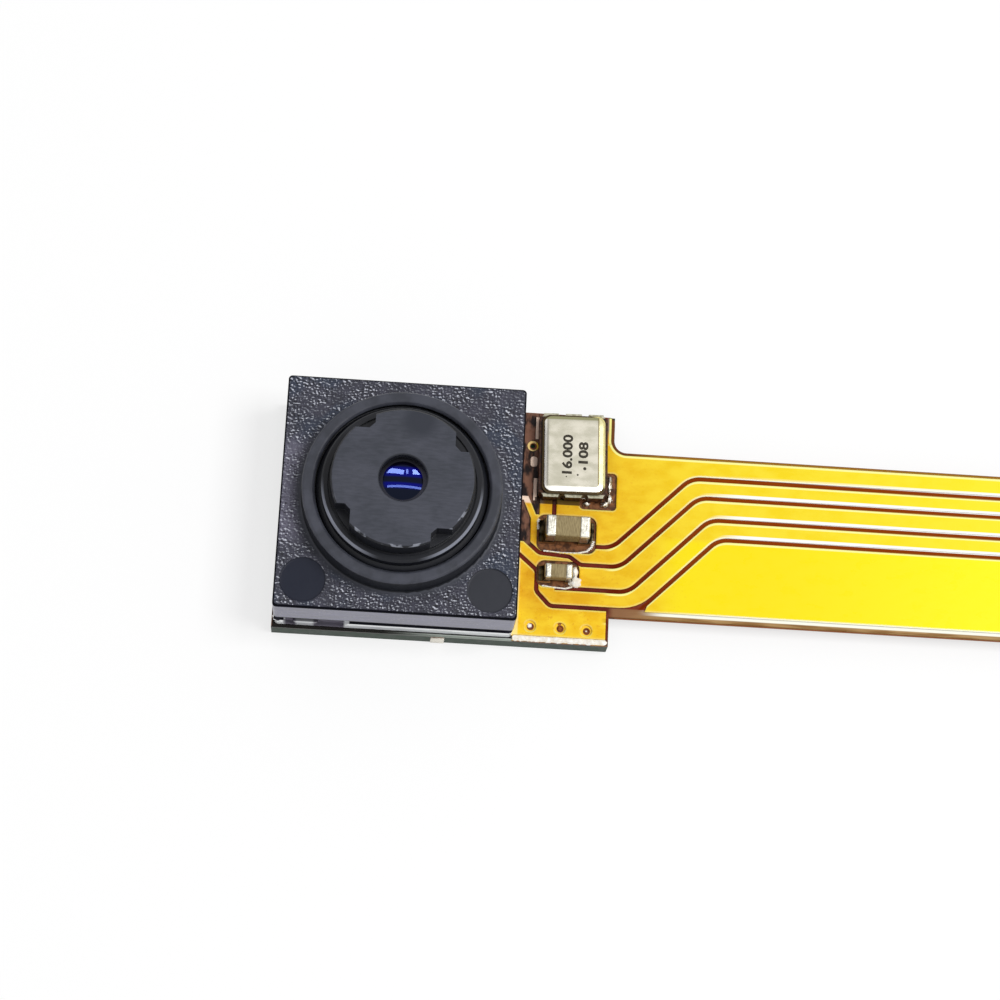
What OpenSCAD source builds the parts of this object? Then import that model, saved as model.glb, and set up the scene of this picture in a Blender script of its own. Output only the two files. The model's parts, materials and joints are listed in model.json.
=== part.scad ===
// Square camera module: a black lens holder with a screw-in lens barrel stands on the head of a
// flexible printed circuit, beside its crystal and two capacitors. The tail ends in bare contacts.
// Origin: on the optical axis, at the underside of the board. X runs along the tail, Z out of the lens.

/* [Board and flex] */
// Half width of the head
head_half = 4.34; // [4.3:0.02:5]
// Distance from the optical axis to the edge of the head beside the tail
head_reach = 7.7; // [7.6:0.05:9]
// Thickness of the rigid board under the head
board_t = 0.75; // [0.3:0.05:1]
// Distance from the optical axis to the far end of the tail
tail_reach = 34; // [28:1:60]
// Upper edge of the tail
tail_top = 3.0; // [2.9:0.05:3.2]
// Lower edge of the tail, below the optical axis
tail_drop = 3.3; // [3.2:0.05:3.5]
// Inside radius where the tail leaves the head
tail_fillet = 0.45; // [0.1:0.05:0.5]
// Thickness of the base film
film_t = 0.05; // [0.03:0.005:0.1]
// Thickness of the copper
copper_t = 0.035; // [0.018:0.001:0.05]
// Thickness of the cover film
cover_t = 0.05; // [0.04:0.005:0.08]
// Width of the gap etched between two conductors
copper_gap = 0.22; // [0.16:0.01:0.3]
// How far the cover film's raised pattern runs past the copper that it covers
cover_wall = 0.03; // [0.02:0.005:0.04]
// Width of the rim that the copper leaves bare along the head's and the tail's edges
bare_rim = 0.14; // [0.08:0.01:0.18]
// Width of the strip of bare copper along the head's front edge
bare_strip = 0.22; // [0.1:0.01:0.3]
// Inside radius of a conductor's bends
bend_r = 0.9; // [0.3:0.1:1.2]
// Corner radius of the windows in the cover film
window_r = 0.3; // [0.1:0.05:0.4]
// How far a window in the cover film clears what stands in it
window_gap = 0.08; // [0.04:0.01:0.15]
// Radius of the open holes of the vias
via_r = 0.09; // [0.05:0.01:0.15]
// Radius of the copper rings round the vias
via_ring_r = 0.2; // [0.17:0.01:0.25]
// Radius of the solder drop on the board's front edge
edge_drop_r = 0.25; // [0.15:0.01:0.28]
// How far the solder drop stands out from the board's edge
edge_drop_proud = 0.05; // [0.02:0.01:0.1]

/* [Tail contacts] */
// Distance between two contacts
contact_pitch = 1.0; // [0.8:0.05:1.1]
// Width of a contact
contact_w = 0.7; // [0.4:0.05:0.75]
// Bare length of the contacts
contact_len = 3.0; // [2:0.5:5]
// Distance of the contacts' tips from the end of the tail
contact_inset = 0.1; // [0.05:0.05:0.3]
// Length of the stiffener behind the contacts
end_stiffener_len = 6.0; // [5:0.5:10]
// Thickness of the stiffener behind the contacts
end_stiffener_t = 0.2; // [0.1:0.05:0.3]

/* [Holder] */
// Half width of the holder's body
holder_half = 4.25; // [4:0.05:4.3]
// Height of the holder's square body above the cover film
holder_h = 2.6; // [2.4:0.05:3.2]
// Height of the holder's set-back foot
foot_h = 1.0; // [0.8:0.05:1.3]
// How far the foot stands back from the body's side
foot_inset = 0.2; // [0.15:0.05:0.3]
// Corner radius of the holder's body
holder_corner = 0.14; // [0.05:0.01:0.3]
// Bevel along the body's top edge
holder_bevel = 0.07; // [0.03:0.01:0.15]
// Wall of the foot round the sensor
foot_wall = 0.75; // [0.5:0.05:0.9]
// Height of the band of adhesive round the foot
adhesive_h = 0.57; // [0.3:0.01:0.7]
// How far the adhesive stands out from the foot
adhesive_proud = 0.18; // [0.05:0.01:0.19]
// Outer radius of the round collar
collar_r = 3.5; // [3.4:0.05:3.8]
// Height of the collar above the body
collar_h = 1.03; // [0.8:0.01:1.4]
// Round of the collar's foot, where it meets the body
collar_fillet = 0.08; // [0.02:0.01:0.15]
// Bevel on the collar's outer top edge
collar_bevel = 0.06; // [0.02:0.01:0.12]
// Bevel on the mouth of the threaded bore
mouth_bevel = 0.08; // [0.02:0.01:0.15]
// Thickness of the shelf between the bore and the filter
shelf_t = 0.25; // [0.15:0.05:0.4]
// Radius of the opening in the shelf
shelf_r = 2.3; // [1.8:0.05:2.4]
// Radius of the two ejector pin marks
mark_r = 0.8; // [0.5:0.05:0.85]
// Depth of the ejector pin marks
mark_deep = 0.05; // [0.02:0.01:0.1]
// Distance of the ejector pin marks from the optical axis, along X and along Y
mark_offset = 3.26; // [3.2:0.01:3.4]

/* [Lens barrel] */
// Outer radius of the barrel's thread
thread_r = 3.0; // [2.95:0.01:3.05]
// Gap between the barrel's thread and the holder's bore
thread_gap = 0.05; // [0.02:0.01:0.1]
// Height of the threaded length
thread_h = 1.55; // [1.3:0.05:1.6]
// How far the barrel screws in or out
focus_travel = 0.35; // [0.1:0.05:0.4]
// Radius of the neck above the thread
neck_r = 2.83; // [2.75:0.01:2.9]
// Height of the neck
neck_h = 0.4; // [0.3:0.05:0.6]
// Radius of the front disc
disc_r = 2.5; // [2.4:0.05:2.6]
// Height of the front disc above the neck's ledge
disc_h = 0.76; // [0.5:0.02:1]
// Bevel round the disc and the ledge
barrel_bevel = 0.06; // [0.02:0.01:0.1]
// Radius of the light opening
light_r = 0.83; // [0.6:0.01:1]
// Depth of the light opening
light_deep = 0.35; // [0.2:0.01:1]
// Width of a tool notch
notch_w = 0.8; // [0.5:0.05:0.9]
// Distance from the axis to a tool notch's floor
notch_floor = 1.74; // [1.7:0.02:2.2]
// How far a tool notch's middle lies to one side of the axis
notch_side = 1.46; // [1.3:0.02:1.5]
// Depth of a tool notch
notch_deep = 0.7; // [0.3:0.05:0.75]
// Size of the sloping corner between a tool notch's floor and its inner side
notch_corner = 0.2; // [0.05:0.01:0.3]

/* [Optics] */
// Gap between the lens elements and the barrel
lens_gap = 0.03; // [0.02:0.01:0.05]
// Radius of the front lens
front_lens_r = 1.4; // [1.2:0.05:1.5]
// Radius of the middle lens
middle_lens_r = 1.7; // [1.55:0.05:1.8]
// Radius of the rear lens
rear_lens_r = 2.1; // [1.9:0.05:2.15]
// Radius of the retaining ring
retainer_r = 2.3; // [2.2:0.05:2.4]
// Rim thickness of the front lens
front_rim = 0.5; // [0.4:0.05:0.6]
// Thickness of the aperture stop
stop_t = 0.06; // [0.03:0.01:0.1]
// Rim thickness of the middle lens
middle_rim = 0.48; // [0.3:0.02:0.5]
// Thickness of the spacer ring
spacer_t = 0.15; // [0.1:0.01:0.2]
// Rim thickness of the rear lens
rear_rim = 0.3; // [0.2:0.02:0.35]
// Thickness of the retaining ring
retainer_t = 0.18; // [0.1:0.01:0.2]
// Side of the infrared filter
filter_w = 5.4; // [5:0.1:5.8]
// Thickness of the infrared filter
filter_t = 0.21; // [0.15:0.01:0.3]

/* [Image sensor] */
// Length of the sensor chip along X
sensor_l = 5.6; // [4:0.1:6.2]
// Length of the sensor chip along Y
sensor_w = 5.0; // [4:0.1:6.2]
// Thickness of the sensor chip
sensor_t = 0.3; // [0.2:0.05:0.35]
// Thickness of the sensor's cover glass
glass_t = 0.4; // [0.3:0.05:0.4]
// Height of the solder balls
ball_h = 0.2; // [0.15:0.01:0.25]
// Radius of the pads under the solder balls
ball_pad_r = 0.15; // [0.12:0.01:0.2]
// Distance between two solder balls
ball_pitch = 0.8; // [0.6:0.05:0.8]

/* [Crystal] */
// Size of the crystal's package along X
crystal_w = 2.5; // [2.0:0.1:2.6]
// Size of the crystal's package along Y
crystal_l = 3.2; // [2.5:0.1:3.2]
// Height of the ceramic base
crystal_base_h = 0.45; // [0.3:0.05:0.6]
// Height of the seal ring
seal_h = 0.1; // [0.05:0.01:0.15]
// Height of the lid
lid_h = 0.12; // [0.08:0.01:0.2]
// How far the lid stands back from the package's side
lid_inset = 0.17; // [0.15:0.01:0.3]
// Width of the sloping weld track round the lid
weld_w = 0.16; // [0.05:0.01:0.25]
// How far the weld track slopes down
weld_drop = 0.04; // [0.02:0.01:0.06]
// Turn of the package on its pads, in degrees
crystal_turn = 1.5; // [-3:0.5:3]
// Wall of the ceramic base
crystal_wall = 0.4; // [0.3:0.05:0.45]

/* [Capacitors] */
// Length, width and height of the large capacitor
large_cap = [1.6, 0.8, 0.8];
// Length, width and height of the small capacitor
small_cap = [1.0, 0.55, 0.5];
// Share of a capacitor's length that each metal end covers
cap_end_share = 0.22; // [0.15:0.01:0.3]
// Height of the solder between a part and its pad
solder_h = 0.06; // [0.05:0.01:0.1]
// How far a capacitor's solder spreads beyond its metal end
solder_foot = 0.2; // [0.1:0.02:0.22]
// Share of a capacitor's height that its solder climbs
solder_rise_share = 0.55; // [0.2:0.05:0.8]

/* [Hidden] */
$fn = 96;
eps = 0.01;

// Heights of the layers above the underside
film_top = board_t + film_t;
copper_top = film_top + copper_t;
cover_low = film_top + cover_t;
cover_top = copper_top + cover_t;

// Heights inside the module
body_top = cover_top + holder_h;
foot_top = cover_top + foot_h;
collar_top = body_top + collar_h;
chip_low = copper_top + ball_h;
glass_low = chip_low + sensor_t;
glass_top = glass_low + glass_t;
filter_low = glass_top + 0.2;
shelf_low = filter_low + filter_t;
shelf_top = shelf_low + shelf_t;
barrel_low = shelf_top + focus_travel + 0.1;
ledge_z = barrel_low + thread_h + neck_h;
face_z = ledge_z + disc_h;
lens_seat = face_z - light_deep;

// Heights of the optical stack, from the front seat down
front_low = lens_seat - lens_gap - front_rim;
stop_low = front_low - stop_t;
middle_low = stop_low - middle_rim;
spacer_low = middle_low - spacer_t;
rear_low = spacer_low - rear_rim;

// Plan positions of what stands on the head
crystal_at = [6.17, 2.6];
large_cap_at = [6.06, -0.18];
small_cap_at = [5.8, -1.78];
edge_solder_x = 1.6;
tail_mid = (tail_top - tail_drop) / 2;
finger_x = tail_reach - contact_len;
fan_x = finger_x - 4.5;

// Middles of the three open vias and of the ring beside the holder
tab_vias = [[4.88, -3.76], [5.95, -3.78], [6.9, -3.82]];
side_via = [4.71, 3.04];

// Centre lines of the gaps between conductors, from the head to the tail's end
gap_tail_y = [2.15, 1.43, 0.61, -0.12];
gap_bend_x = [10.55, 10.85, 11.27, 11.6];
gap_head_y = [-0.67, -1.38, -2.3, -3.4];
gap_head_x = [7.0, 6.62, 5.7, 0];
function finger_gap(i) = tail_mid + (1.5 - i) * contact_pitch;
function tail_gap(i) = let (drop = gap_tail_y[i] - gap_head_y[i], fan = gap_tail_y[i] - finger_gap(i)) [
    if (i < 3) [gap_head_x[i], gap_head_y[i]],
    [gap_bend_x[i] - drop, gap_head_y[i]],
    [gap_bend_x[i], gap_tail_y[i]],
    [fan_x, gap_tail_y[i]],
    [fan_x + abs(fan), finger_gap(i)],
    [tail_reach + 1, finger_gap(i)]
];
tab_gap = [[head_reach + 0.3, -2.98], [5.55, -2.98], [5.04, -2.45], [5.04, -1.68], [3.9, -0.71]];
side_gap = [[7.0, -1.38], [6.6, -1.38], [6.2, -1.1], [5.1, -1.02], [4.4, -0.42], [3.9, -0.02]];

// Turns each corner of a path into an arc of the given radius
function unit(v) = v / norm(v);
function turn_arc(before, corner, after, r) =
    let (
        a = unit(before - corner), b = unit(after - corner),
        half = acos(max(-1, min(1, a * b))) / 2,
        reach = min(r / tan(half), 0.49 * min(norm(before - corner), norm(after - corner))),
        radius = reach * tan(half),
        mid = corner + unit(a + b) * radius / sin(half),
        from = corner + a * reach - mid,
        sweep = (a[0] * b[1] - a[1] * b[0] > 0 ? -1 : 1) * (180 - 2 * half)
    )
    half > 89.5 ? [corner] : [
        for (k = [0:6]) let (t = -sweep * k / 6 * -1)
            mid + [from[0] * cos(t) - from[1] * sin(t), from[0] * sin(t) + from[1] * cos(t)]
    ];
function smooth_path(path, r) = [
    path[0],
    for (i = [1:len(path) - 2]) each turn_arc(path[i - 1], path[i], path[i + 1], r),
    path[len(path) - 1]
];

// Unit vector across the path at a point, and how much the corner stretches it
function across(points, i) =
    let (
        ahead = unit(points[min(i + 1, len(points) - 1)] - points[min(i, len(points) - 2)]),
        behind = unit(points[max(i, 1)] - points[max(i - 1, 0)]),
        mean = unit(ahead + behind)
    )
    [-mean[1], mean[0]] / max(0.5, mean * ahead);

// Flat strip of even width along a path
module strip(path, width, r = 0.3) {
    line = smooth_path(path, r);
    last = len(line) - 1;
    polygon([
        for (i = [0:last]) line[i] + across(line, i) * width / 2,
        for (i = [last:-1:0]) line[i] - across(line, i) * width / 2
    ]);
}

// Rectangle with round corners, centred
module round_rect(size, r) {
    square([size[0] - 2 * r, size[1]], center = true);
    square([size[0], size[1] - 2 * r], center = true);
    for (x = [-1, 1], y = [-1, 1])
        translate([x * (size[0] / 2 - r), y * (size[1] / 2 - r)]) circle(r = r, $fn = 32);
}

// Block with every edge rounded, standing on its underside
module soft_block(size, r) {
    intersection() {
        linear_extrude(size[2]) round_rect([size[0], size[1]], r);
        translate([0, size[1] / 2, size[2] / 2]) rotate([90, 0, 0])
            linear_extrude(size[1]) round_rect([size[0], size[2]], r);
        translate([-size[0] / 2, 0, size[2] / 2]) rotate([90, 0, 90])
            linear_extrude(size[0]) round_rect([size[1], size[2]], r);
    }
}

module place(at, z = 0) {
    translate([at[0], at[1], z]) children();
}

// Outline of the head, a little wider than the holder
module head_outline() {
    translate([-head_half, -head_half]) square([head_half + head_reach, 2 * head_half]);
}

// Outline of the whole flex: the head, the tail and the fillet between them
module flex_outline(margin = 0) {
    difference() {
        translate([-head_half + margin, -head_half + margin])
            square([head_half + head_reach - 2 * margin, 2 * head_half - 2 * margin]);
        translate([head_reach - 0.2, head_half - 0.2]) difference() {
            square(1);
            circle(r = 0.2 - margin, $fn = 32);
        }
    }
    translate([0, -tail_drop + margin]) square([tail_reach - margin, tail_top + tail_drop - 2 * margin]);
    translate([head_reach - margin, tail_top - margin]) difference() {
        square(tail_fillet + margin);
        translate([tail_fillet + margin, tail_fillet + margin]) circle(r = tail_fillet + margin, $fn = 32);
    }
}

// Stretches of the head that carry no copper under the cover film
module bare_areas(grow) {
    under_crystal = crystal_at[1] - crystal_l / 2 + 0.05;
    under_holder = holder_half - 0.7;
    beside_foot = holder_half + 0.8;
    beside_crystal = crystal_at[0] + crystal_w / 2 - 0.07;
    polygon([
        [under_holder, head_half], [under_holder, 1.1], [4.62, 1.1], [4.92, 0.42], [beside_foot, 0.42],
        [beside_foot, under_crystal], [beside_crystal, under_crystal], [beside_crystal, head_half]
    ]);
    polygon([
        [holder_half - 0.05, 0.95], [holder_half + 0.2, 0.95], [4.74, 0.28], [4.76, -0.62],
        [holder_half - 0.05, -0.62]
    ]);
    translate([head_reach - 0.35, tail_top + 0.28]) square([1, head_half]);
    translate([5.5, large_cap_at[1]]) square([0.16, under_crystal - large_cap_at[1] + eps]);
    corner_area(grow);
}

// Bare corner between the lowest narrow conductor, the wide conductor and the tab
module corner_area(grow) {
    bend = 1.6;
    low = tab_gap[0][1] + copper_gap / 2;
    slant = gap_bend_x[3] - gap_tail_y[3] - copper_gap / 2 * sqrt(2);
    bend_at = [slant - bend * sqrt(2) + low + bend, low + bend];
    r = bend + grow;
    left = head_reach - eps;
    right = 8.9 - grow;
    difference() {
        polygon([
            [left, bend_at[1] - r], [bend_at[0], bend_at[1] - r],
            [bend_at[0] + r * sin(45), bend_at[1] - r * cos(45)],
            [right, -tail_drop], [right, -head_half], [left, -head_half]
        ]);
        place(bend_at) circle(r = r);
    }
}

// Windows in the cover film over the parts' pads
module cover_windows() {
    place([7.16, 1.44]) round_rect([1.34, 1.42], window_r / 2);
    place(large_cap_at - [0, 0.08]) round_rect(cap_window(large_cap) + [0, 0.16], window_r);
    place(small_cap_at) round_rect(cap_window(small_cap), window_r);
    square([sensor_l - 0.2, sensor_w - 0.2], center = true);
}

// The copper under the cover film, or the cover film's raised pattern when grown
module conductor_plan(grow = 0) {
    gap = copper_gap - 2 * grow;
    left = holder_half - 0.75;
    intersection() {
        flex_outline(bare_rim - grow);
        difference() {
            union() {
                translate([left, -head_half + bare_strip - grow])
                    square([head_reach - bare_rim - left + grow, head_half]);
                translate([left, -2.4]) square([head_reach + 1 - left, 2.7 + tail_top + grow]);
                translate([left, -tail_drop + 0.33 - grow])
                    square([finger_x - left + eps, tail_drop + tail_top]);
            }
            bare_areas(grow);
            for (i = [0:3]) strip(tail_gap(i), gap, bend_r);
            strip(tab_gap, gap);
            strip(side_gap, gap);
        }
    }
    for (y = [0.95, 3.3]) translate([holder_half + 0.54, y]) square([0.1 + grow, 0.85]);
    place([4.77, 2.43]) round_rect([0.22 + grow, 0.36 + grow], 0.1);
}

module finger_plan() {
    for (i = [0:4])
        translate([finger_x, tail_mid + (2 - i) * contact_pitch - contact_w / 2])
            square([contact_len - contact_inset, contact_w]);
}

// Sizes that a capacitor asks of its pads and of its window in the cover film
function cap_pad(size) = [cap_end_share * size[0] + solder_foot + 0.06, size[1] + 0.12];
function cap_window(size) = [size[0] + 2 * (solder_foot + window_gap), size[1] + 0.44];

// Plan of the pads that the crystal is soldered to
module crystal_pads(margin = 0) {
    size = [crystal_w, crystal_l] * 0.33;
    reach = [crystal_w, crystal_l] / 2 - size / 2 - [0.08, 0.08];
    for (x = [-1, 1], y = [-1, 1]) place(crystal_at + [x * reach[0], y * reach[1]])
        square(size - [margin, margin], center = true);
}

// Plan of a capacitor's two pads
module cap_pads(size) {
    for (s = [-1, 1]) translate([s * (size[0] / 2 + solder_foot + 0.03 - cap_pad(size)[0] / 2), 0])
        square(cap_pad(size), center = true);
}

// Plan of the pads that the parts are soldered to
module pad_plan() {
    crystal_pads();
    place(large_cap_at) cap_pads(large_cap);
    place(small_cap_at) cap_pads(small_cap);
}

// Places one copy at each solder ball
module at_balls(z) {
    for (i = [-3:3], j = [-2.5:1:2.5]) place([i * ball_pitch, j * ball_pitch], z) children();
}

module rigid_board() {
    color("darkgreen") difference() {
        linear_extrude(board_t) head_outline();
        translate([edge_solder_x, -head_half, -1]) cylinder(r = edge_drop_r, h = 3);
        for (at = tab_vias) place(at, -1) cylinder(r = via_r, h = 3);
    }
}

module flex_base_film() {
    color("saddlebrown") translate([0, 0, board_t]) difference() {
        linear_extrude(film_t) flex_outline();
        for (at = tab_vias) place(at, -1) cylinder(r = via_r, h = 3);
        place(side_via, -1) cylinder(r = via_r, h = 3);
    }
}

module copper_conductors() {
    color("gold") translate([0, 0, film_top]) linear_extrude(copper_t) difference() {
        union() {
            conductor_plan();
            finger_plan();
            translate([holder_half, -head_half + 0.02])
                square([head_reach - bare_rim - holder_half, bare_strip]);
        }
        cover_windows();
        for (at = tab_vias) place(at) circle(r = via_ring_r);
    }
}

module component_pads() {
    color("gold") translate([0, 0, film_top]) linear_extrude(copper_t) {
        pad_plan();
        at_balls(0) circle(r = ball_pad_r, $fn = 32);
    }
}

module coverlay() {
    color("orange") difference() {
        union() {
            translate([0, 0, film_top]) linear_extrude(cover_t) flex_outline(0.04);
            translate([0, 0, film_top]) linear_extrude(copper_t + cover_t) conductor_plan(cover_wall);
        }
        translate([0, 0, film_top - 1]) linear_extrude(1 + copper_t) conductor_plan();
        translate([0, 0, film_top - 1]) linear_extrude(3) crystal_pads();
        translate([0, 0, film_top - 1]) linear_extrude(3) cover_windows();
        translate([finger_x, -5, film_top - 1]) cube([contact_len + 1, 10, 3]);
        for (at = concat(tab_vias, [side_via])) place(at, film_top - 1) cylinder(r = via_ring_r, h = 3);
        translate([holder_half, -head_half - 1, film_top - 1]) cube([9, 1 + bare_strip, 3]);
    }
}

module via_rings() {
    color("goldenrod") for (at = concat(tab_vias, [side_via])) place(at, film_top) difference() {
        cylinder(r = via_ring_r, h = copper_t);
        translate([0, 0, -1]) cylinder(r = via_r, h = 3);
    }
}

module tail_stiffener() {
    color("chocolate") translate([tail_reach - end_stiffener_len, -tail_drop, board_t - end_stiffener_t])
        cube([end_stiffener_len, tail_top + tail_drop, end_stiffener_t]);
}

module edge_solder() {
    color("silver") intersection() {
        translate([edge_solder_x, -head_half, 0.08]) cylinder(r = edge_drop_r, h = board_t - 0.16);
        translate([0, -head_half - edge_drop_proud, 0]) cube([2 * edge_solder_x, 1, 1]);
    }
}

// Square plan of the holder's body or foot
module holder_plan(half, r) {
    round_rect([2 * half, 2 * half], r);
}

module lens_holder() {
    cavity = holder_half - foot_inset - foot_wall;
    bore_r = thread_r + thread_gap;
    color([0.1, 0.1, 0.12]) difference() {
        union() {
            translate([0, 0, cover_top]) linear_extrude(foot_h + eps)
                holder_plan(holder_half - foot_inset, holder_corner);
            hull() {
                translate([0, 0, foot_top]) linear_extrude(body_top - foot_top - holder_bevel)
                    holder_plan(holder_half, holder_corner);
                translate([0, 0, foot_top]) linear_extrude(body_top - foot_top)
                    holder_plan(holder_half - holder_bevel, holder_corner);
            }
            translate([0, 0, body_top]) rotate_extrude() collar_profile();
        }
        translate([0, 0, shelf_top]) cylinder(r = bore_r, h = collar_top);
        translate([0, 0, shelf_low - 1]) cylinder(r = shelf_r, h = 3);
        translate([0, 0, collar_top - mouth_bevel])
            cylinder(r1 = bore_r, r2 = bore_r + 2 * mouth_bevel, h = 2 * mouth_bevel);
        translate([0, 0, filter_low]) linear_extrude(filter_t) square(filter_w + 0.1, center = true);
        translate([0, 0, cover_top - 1]) linear_extrude(1 + filter_low - cover_top)
            square(2 * cavity, center = true);
        for (s = [-1, 1])
            place([s * mark_offset, -mark_offset], body_top - mark_deep) cylinder(r = mark_r, h = 1);
    }
}

// Half section of the collar, with a hollow fillet at its foot
module collar_profile() {
    difference() {
        polygon([
            [2, -0.3], [collar_r + collar_fillet, -0.3], [collar_r + collar_fillet, 0],
            [collar_r + collar_fillet, collar_fillet], [collar_r, collar_fillet],
            [collar_r, collar_h - collar_bevel], [collar_r - collar_bevel, collar_h], [2, collar_h]
        ]);
        translate([collar_r + collar_fillet, collar_fillet]) circle(r = collar_fillet, $fn = 48);
    }
}

// Band of adhesive round the foot, which runs thin beside one dab near the front left corner
module holder_adhesive() {
    outer = holder_half - foot_inset;
    top = adhesive_h + eps;
    color("gainsboro") difference() {
        translate([0, 0, cover_top]) linear_extrude(adhesive_h)
            holder_plan(outer + adhesive_proud, holder_corner);
        translate([0, 0, cover_top - 1]) linear_extrude(foot_h + 2) holder_plan(outer, holder_corner);
        translate([0.36 - holder_half, -outer - 0.05, cover_top]) rotate([90, 0, 0]) linear_extrude(1)
            polygon([
                [0, top], [2.37, top], [2.1, 0.55 * top], [2.37, 0.08], [1.07, 0.08],
                [1.22, 0.92 * top], [0.32, 0.92 * top], [0.47, 0.08], [0, 0.08]
            ]);
    }
}

module lens_barrel() {
    bore = [front_lens_r, middle_lens_r, rear_lens_r, retainer_r];
    function wall(i) = bore[i] + lens_gap;
    color([0.14, 0.14, 0.15]) difference() {
        rotate_extrude() polygon([
            [thread_r - 0.1, barrel_low], [thread_r, barrel_low + 0.1],
            [thread_r, barrel_low + thread_h - 0.1], [neck_r, barrel_low + thread_h],
            [neck_r, ledge_z - barrel_bevel], [neck_r - barrel_bevel, ledge_z],
            [disc_r + 0.09, ledge_z], [disc_r + 0.09, ledge_z - 0.08], [disc_r, ledge_z - 0.08],
            [disc_r, face_z - barrel_bevel], [disc_r - barrel_bevel, face_z],
            [light_r + 0.04, face_z], [light_r, face_z - 0.04], [light_r, lens_seat],
            [wall(0), lens_seat], [wall(0), stop_low + lens_gap],
            [wall(1), stop_low + lens_gap], [wall(1), spacer_low + lens_gap],
            [wall(2), spacer_low + lens_gap], [wall(2), rear_low + lens_gap],
            [wall(3), rear_low + lens_gap], [wall(3), barrel_low]
        ]);
        for (turn = [0:90:270]) rotate([0, 0, turn])
            translate([notch_side - notch_w / 2, -notch_floor, face_z - notch_deep])
                linear_extrude(notch_deep + 1) polygon([
                    [0, -thread_r], [0, -notch_corner], [notch_corner, 0], [notch_w, 0],
                    [notch_w, -thread_r]
                ]);
    }
}

// Spherical cap of radius r and height h, standing on z = 0
module dome(r, h) {
    ball = (r * r + h * h) / (2 * h);
    intersection() {
        translate([0, 0, h - ball]) sphere(r = ball);
        cylinder(r = r, h = h + 1);
    }
}

module front_lens() {
    color("midnightblue") translate([0, 0, front_low]) {
        cylinder(r = front_lens_r, h = front_rim);
        translate([0, 0, front_rim - eps]) dome(light_r - 0.04, 0.11);
    }
}

module aperture_stop() {
    color("black") translate([0, 0, stop_low]) difference() {
        cylinder(r = front_lens_r, h = stop_t);
        translate([0, 0, -1]) cylinder(r = 0.55, h = 3);
    }
}

module middle_lens() {
    color("lightsteelblue") translate([0, 0, middle_low]) difference() {
        cylinder(r = middle_lens_r, h = middle_rim);
        translate([0, 0, -eps]) dome(0.85, 0.16);
    }
}

module spacer_ring() {
    color("black") translate([0, 0, spacer_low]) difference() {
        cylinder(r = middle_lens_r, h = spacer_t);
        translate([0, 0, -1]) cylinder(r = 1.05, h = 3);
    }
}

module rear_lens() {
    color("lightsteelblue") translate([0, 0, rear_low]) difference() {
        union() {
            cylinder(r = rear_lens_r, h = rear_rim);
            translate([0, 0, rear_rim - eps]) dome(0.9, 0.1);
        }
        translate([0, 0, -eps]) dome(1.2, 0.12);
    }
}

module retaining_ring() {
    color("black") translate([0, 0, rear_low - retainer_t]) difference() {
        cylinder(r = retainer_r, h = retainer_t);
        translate([0, 0, -1]) cylinder(r = 1.7, h = 3);
    }
}

module infrared_filter() {
    color("paleturquoise") translate([-filter_w / 2, -filter_w / 2, filter_low])
        cube([filter_w, filter_w, filter_t]);
}

module sensor_chip() {
    color("dimgray") translate([-sensor_l / 2, -sensor_w / 2, chip_low]) cube([sensor_l, sensor_w, sensor_t]);
}

module sensor_cover_glass() {
    color("lightblue") translate([-sensor_l / 2, -sensor_w / 2, glass_low])
        cube([sensor_l, sensor_w, glass_t]);
}

module sensor_solder_balls() {
    color("silver") at_balls(copper_top) intersection() {
        translate([0, 0, ball_h / 2]) sphere(r = ball_h * 0.72, $fn = 32);
        cylinder(r = ball_h, h = ball_h);
    }
}

// Plan of the crystal's ceramic base, with round notches at its corners and ends
module crystal_plan() {
    difference() {
        square([crystal_w, crystal_l], center = true);
        for (x = [-1, 1], y = [-1, 1]) {
            translate([x * crystal_w / 2, y * crystal_l / 2]) circle(r = 0.16, $fn = 32);
            translate([x * 0.42, y * crystal_l / 2]) circle(r = 0.13, $fn = 32);
        }
    }
}

crystal_z = copper_top + solder_h;

// Places a piece of the crystal at a height above its underside
module in_crystal(z = 0) {
    place(crystal_at, crystal_z + z) rotate([0, 0, crystal_turn]) children();
}

module crystal_base() {
    color("dimgray") in_crystal() difference() {
        linear_extrude(crystal_base_h) crystal_plan();
        translate([0, 0, 0.15]) linear_extrude(3)
            square([crystal_w - 2 * crystal_wall, crystal_l - 2 * crystal_wall], center = true);
    }
}

module crystal_seal_ring() {
    color("khaki") in_crystal(crystal_base_h) linear_extrude(seal_h) difference() {
        round_rect([crystal_w - 0.2, crystal_l - 0.2], 0.3);
        square([crystal_w - 2 * crystal_wall, crystal_l - 2 * crystal_wall], center = true);
    }
}

module crystal_lid() {
    size = [crystal_w - 2 * lid_inset, crystal_l - 2 * lid_inset];
    color("silver") in_crystal(crystal_base_h + seal_h) hull() {
        linear_extrude(lid_h - weld_drop) round_rect(size, 0.28);
        linear_extrude(lid_h) round_rect(size - 2 * [weld_w, weld_w], 0.16);
    }
}

module quartz_blank() {
    color("white") in_crystal(0.15) {
        translate([0, 0, 0.08]) linear_extrude(0.05) square([crystal_w - 2 * crystal_wall - 0.4,
            crystal_l - 2 * crystal_wall - 0.4], center = true);
        for (x = [-1, 1]) translate([x * 0.3, -0.75, 0]) cylinder(r = 0.15, h = 0.081);
    }
}

module crystal_solder() {
    color("silver") translate([0, 0, copper_top]) linear_extrude(solder_h) crystal_pads(window_gap);
}

// Body and metal ends of a capacitor, standing on its underside
module cap_body(size) {
    inset = 0.02;
    translate([0, 0, inset]) soft_block([size[0] * (1 - 2 * cap_end_share) + 0.1, size[1] - 2 * inset,
        size[2] - 2 * inset], 0.05);
}

module cap_ends(size) {
    difference() {
        soft_block(size, 0.09);
        translate([0, 0, size[2] / 2]) cube([size[0] * (1 - 2 * cap_end_share), 9, 9], center = true);
        cap_body(size);
    }
}

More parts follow.
